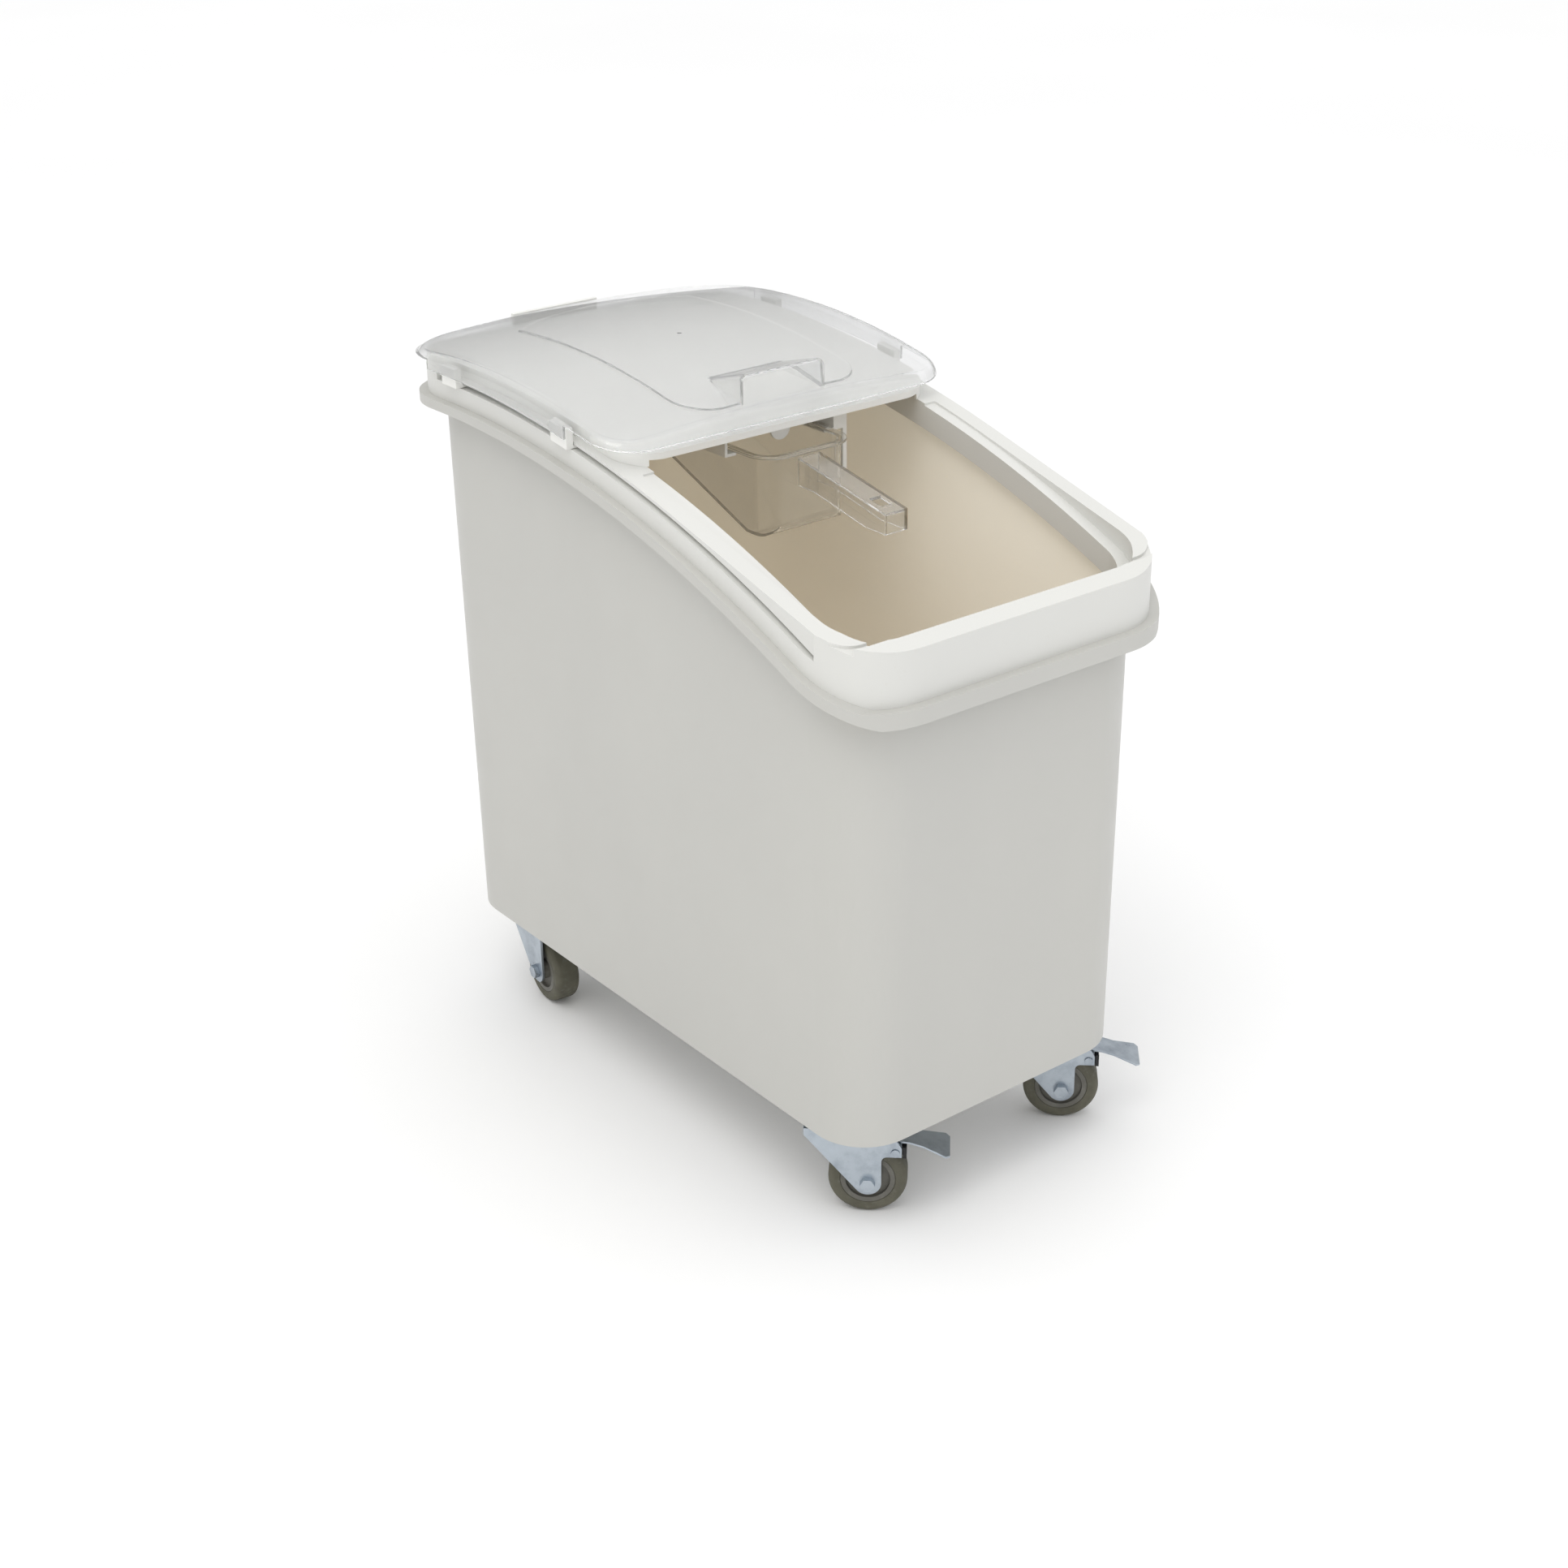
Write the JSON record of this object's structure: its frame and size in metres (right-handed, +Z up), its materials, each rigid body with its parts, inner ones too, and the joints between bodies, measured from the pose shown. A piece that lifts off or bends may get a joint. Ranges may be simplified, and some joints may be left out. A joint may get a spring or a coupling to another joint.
{
  "type": "pet food bin",
  "caption": "Slant-top white pet food bin on swivel casters, with a clear sliding lid pushed back over a fixed rear deck and a clear scoop hung in its mouth",
  "frame": {"origin": "on the floor, under the middle of the bin's bounding box", "axes": "+X the bin's right, -Y its front (the low end of the slope), +Z up"},
  "size_m": [0.4116, 0.7308, 0.744],
  "materials": {
    "white_plastic": "off-white polypropylene, satin, faintly translucent",
    "clear_plastic": "clear, glossy, slightly smoky at the edges",
    "zinc": "bright zinc-plated pressed steel",
    "steel": "plain steel, polished",
    "grey_plastic": "dark grey nylon, satin",
    "grey_rubber": "grey-olive soft rubber tread",
    "black_plastic": "black, satin"
  },
  "bodies": {
    "bin": {"caster_fl_balls": "steel", "caster_fl_bolts": "zinc", "caster_fl_kingpin": "zinc", "caster_fl_plate": "zinc", "caster_fr_balls": "steel", "caster_fr_bolts": "zinc", "caster_fr_kingpin": "zinc", "caster_fr_plate": "zinc", "caster_rl_balls": "steel", "caster_rl_bolts": "zinc", "caster_rl_kingpin": "zinc", "caster_rl_plate": "zinc", "caster_rr_balls": "steel", "caster_rr_bolts": "zinc", "caster_rr_kingpin": "zinc", "caster_rr_plate": "zinc", "collar": "white_plastic", "lid_stop": "white_plastic", "rear_deck": "white_plastic", "scoop_hanger": "white_plastic", "tub": "white_plastic"},
    "lid": {"sliding_lid": "clear_plastic", "lid_guide_shoes": "white_plastic"},
    "scoop": {"scoop": "clear_plastic"},
    "swivel_fl": {"caster_fl_axle_bolt": "zinc", "caster_fl_axle_bush": "steel", "caster_fl_axle_nut": "zinc", "caster_fl_brake_pin": "zinc", "caster_fl_fork": "zinc"},
    "brake_fl": {"caster_fl_brake_pedal": "zinc", "caster_fl_brake_shoe": "black_plastic"},
    "wheel_fl": {"caster_fl_hub": "grey_plastic", "caster_fl_tyre": "grey_rubber"},
    "swivel_fr": {"caster_fr_axle_bolt": "zinc", "caster_fr_axle_bush": "steel", "caster_fr_axle_nut": "zinc", "caster_fr_brake_pin": "zinc", "caster_fr_fork": "zinc"},
    "brake_fr": {"caster_fr_brake_pedal": "zinc", "caster_fr_brake_shoe": "black_plastic"},
    "wheel_fr": {"caster_fr_hub": "grey_plastic", "caster_fr_tyre": "grey_rubber"},
    "swivel_rl": {"caster_rl_axle_bolt": "zinc", "caster_rl_axle_bush": "steel", "caster_rl_axle_nut": "zinc", "caster_rl_fork": "zinc"},
    "wheel_rl": {"caster_rl_hub": "grey_plastic", "caster_rl_tyre": "grey_rubber"},
    "swivel_rr": {"caster_rr_axle_bolt": "zinc", "caster_rr_axle_bush": "steel", "caster_rr_axle_nut": "zinc", "caster_rr_fork": "zinc"},
    "wheel_rr": {"caster_rr_hub": "grey_plastic", "caster_rr_tyre": "grey_rubber"}
  },
  "joints": [
    {"name": "lid_slide", "type": "hinge", "parent": "bin", "child": "lid", "pos_m": [0, 0.245, -0.6955], "axis": [1, 0, 0], "range_deg": [0, 12.7]},
    {"name": "scoop_slide", "type": "slide", "parent": "bin", "child": "scoop", "axis": [0, -1, 0], "range_m": [0, 0.035]},
    {"name": "swivel_fl", "type": "hinge", "parent": "bin", "child": "swivel_fl", "pos_m": [-0.126, -0.261, 0.0996], "axis": [0, 0, 1], "continuous": true},
    {"name": "wheel_fl", "type": "hinge", "parent": "swivel_fl", "child": "wheel_fl", "pos_m": [-0.10965, -0.27572, 0.0375], "axis": [0.6691, 0.7431, 0], "continuous": true},
    {"name": "brake_fl", "type": "hinge", "parent": "swivel_fl", "child": "brake_fl", "pos_m": [-0.09033, -0.29312, 0.072], "axis": [0.6691, 0.7431, 0], "range_deg": [0, 13]},
    {"name": "swivel_fr", "type": "hinge", "parent": "bin", "child": "swivel_fr", "pos_m": [0.126, -0.261, 0.0996], "axis": [0, 0, 1], "continuous": true},
    {"name": "wheel_fr", "type": "hinge", "parent": "swivel_fr", "child": "wheel_fr", "pos_m": [0.14235, -0.27572, 0.0375], "axis": [0.6691, 0.7431, 0], "continuous": true},
    {"name": "brake_fr", "type": "hinge", "parent": "swivel_fr", "child": "brake_fr", "pos_m": [0.16167, -0.29312, 0.072], "axis": [0.6691, 0.7431, 0], "range_deg": [0, 13]},
    {"name": "swivel_rl", "type": "hinge", "parent": "bin", "child": "swivel_rl", "pos_m": [-0.126, 0.261, 0.0996], "axis": [0, 0, 1], "continuous": true},
    {"name": "wheel_rl", "type": "hinge", "parent": "swivel_rl", "child": "wheel_rl", "pos_m": [-0.1283, 0.23912, 0.0375], "axis": [0.9945, -0.1045, 0], "continuous": true},
    {"name": "swivel_rr", "type": "hinge", "parent": "bin", "child": "swivel_rr", "pos_m": [0.126, 0.261, 0.0996], "axis": [0, 0, 1], "continuous": true},
    {"name": "wheel_rr", "type": "hinge", "parent": "swivel_rr", "child": "wheel_rr", "pos_m": [0.13599, 0.2414, 0.0375], "axis": [0.891, 0.454, 0], "continuous": true}
  ]
}
